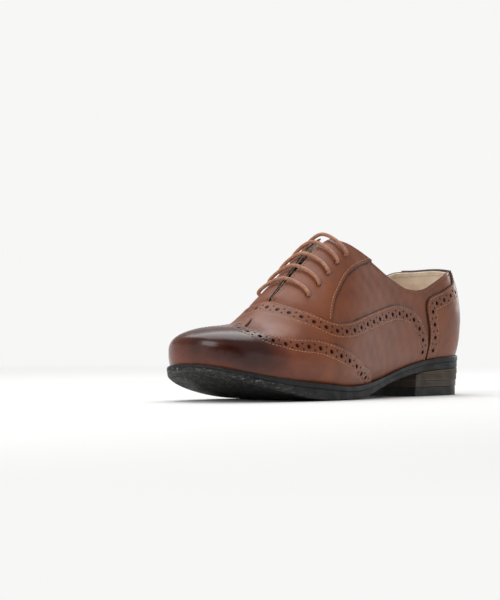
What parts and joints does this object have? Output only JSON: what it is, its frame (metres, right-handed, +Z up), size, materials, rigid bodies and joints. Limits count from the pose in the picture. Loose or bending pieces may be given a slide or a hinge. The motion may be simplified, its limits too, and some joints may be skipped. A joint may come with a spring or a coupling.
{
  "type": "oxford shoe",
  "caption": "Left lace-up wingtip oxford shoe in burnished brown leather, with laced facings, a lined upper, a rubber sole and a stacked heel.",
  "frame": {"origin": "middle of the outline of the shoe, on the floor it stands on", "axes": "+X towards the toe, +Y towards the outer side of the left foot, +Z up"},
  "size_m": [0.2612, 0.0924, 0.1104],
  "materials": {
    "burnished_leather": "smooth calf leather, waxed and burnished dark at the toe",
    "upper_leather": "smooth mid brown calf leather with a soft wax shine",
    "stiffener_board": "stiffened thermoplastic cloth, matte",
    "backer_cloth": "thin cotton backer, matte",
    "lining_leather": "beige lining leather, matte",
    "sock_leather": "beige padded leather sock, matte",
    "eyelet_metal": "dark lacquered blind eyelets",
    "lace_cord": "round braided waxed cotton lace, light brown",
    "lace_tip_plastic": "clear brown plastic tip",
    "insole_fibreboard": "fibreboard, matte",
    "shank_steel": "plain spring steel",
    "cork_filler": "cork and resin filler",
    "rand_rubber": "charcoal rubber, satin",
    "sole_rubber": "charcoal rubber with light scuffs",
    "lift_rubber": "dark rubber lift with brown edges between the layers",
    "nail_steel": "plain wire nail",
    "top_piece_rubber": "hard charcoal rubber"
  },
  "bodies": {
    "shoe": {"wingtip": "burnished_leather", "vamp": "upper_leather", "facing_lateral": "upper_leather", "facing_medial": "upper_leather", "quarter_lateral": "upper_leather", "quarter_medial": "upper_leather", "heel_counter_cover": "upper_leather", "toe_puff": "stiffener_board", "vamp_backer": "backer_cloth", "heel_stiffener": "stiffener_board", "vamp_lining": "lining_leather", "quarter_lining_lateral": "lining_leather", "quarter_lining_medial": "lining_leather", "eyelets_lateral": "eyelet_metal", "eyelets_medial": "eyelet_metal", "lace": "lace_cord", "lace_tips": "lace_tip_plastic", "sock": "sock_leather", "insole_board": "insole_fibreboard", "shank": "shank_steel", "bottom_filler": "cork_filler", "rand": "rand_rubber", "outsole": "sole_rubber", "heel_lift_1": "lift_rubber", "heel_lift_2": "lift_rubber", "heel_lift_3": "lift_rubber", "heel_nails": "nail_steel", "top_piece": "top_piece_rubber"},
    "tongue": {"tongue": "upper_leather", "tongue_lining": "lining_leather"}
  },
  "joints": [
    {"name": "tongue_hinge", "type": "hinge", "parent": "shoe", "child": "tongue", "pos_m": [0.0554, 0, 0.0565], "axis": [0, -1, 0], "range_deg": [0, 30], "stiffness_Nm_per_rad": 0.05}
  ]
}
